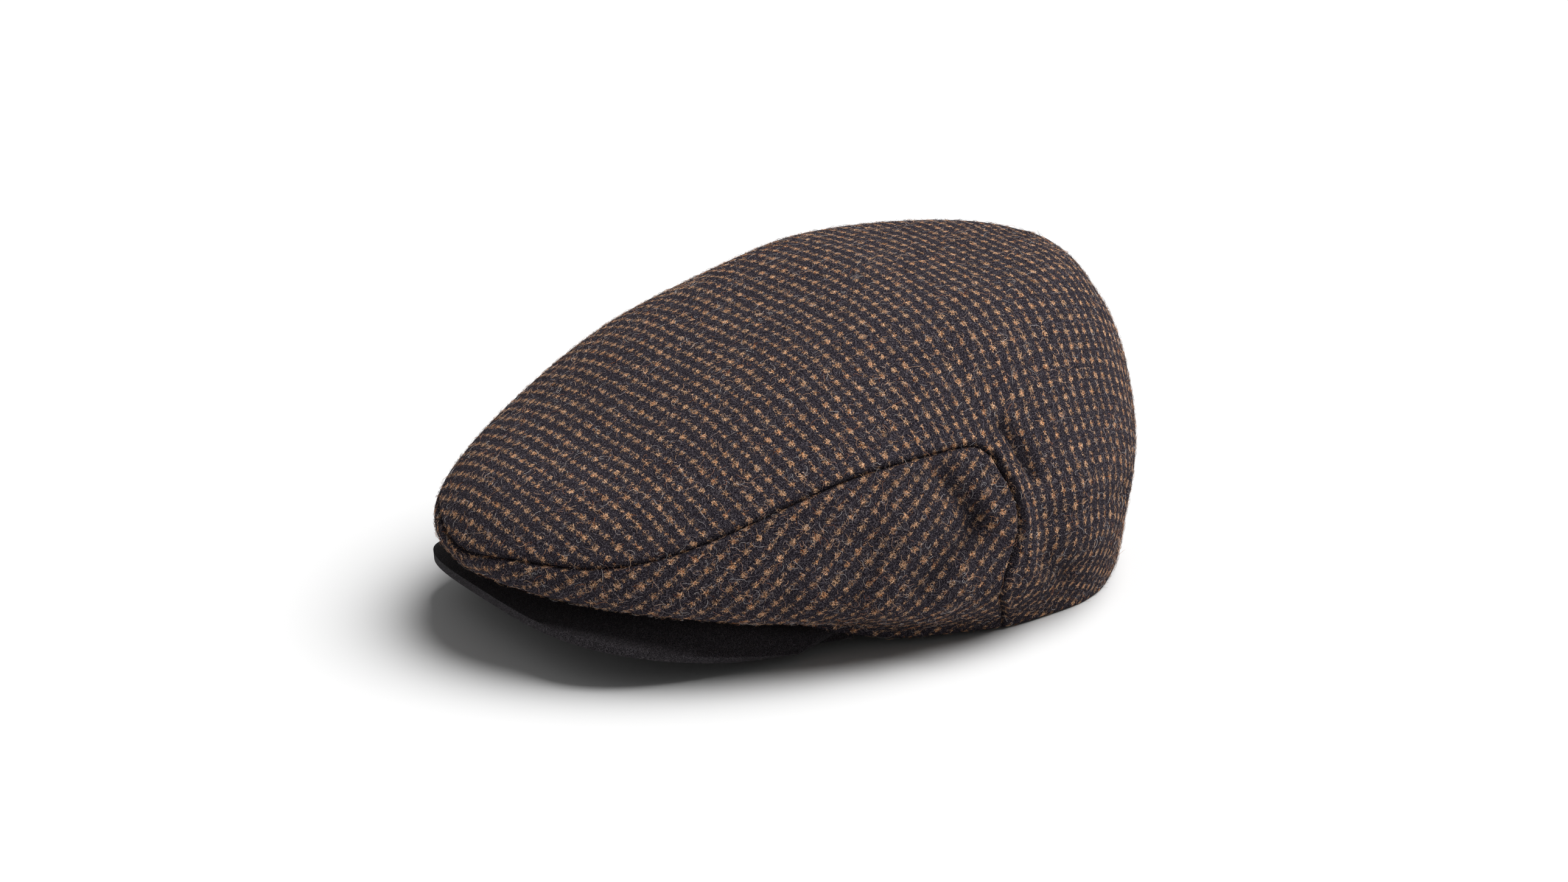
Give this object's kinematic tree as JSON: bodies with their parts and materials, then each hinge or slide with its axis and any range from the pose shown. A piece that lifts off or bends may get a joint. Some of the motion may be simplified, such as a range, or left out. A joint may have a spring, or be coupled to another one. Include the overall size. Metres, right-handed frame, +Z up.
{
  "type": "ivy cap",
  "caption": "Ivy cap: a soft rounded tweed crown of a long top panel and leaf-shaped side panels, sewn over a stiff curved black peak, open underneath for the head.",
  "frame": {"origin": "on the surface that the cap rests on, under the middle of the cap", "axes": "+Z up through the crown, -Y towards the peak, +X towards the wearer's left"},
  "size_m": [0.2048, 0.2683, 0.114],
  "materials": {
    "tweed": "brushed charcoal wool tweed with a regular grid of small tan specks and loose pale fibres",
    "peak_cloth": "plain black short-napped wool"
  },
  "bodies": {
    "root": {"crown_top": "tweed", "side_panel_left": "tweed", "side_panel_right": "tweed", "peak": "peak_cloth"}
  },
  "joints": []
}
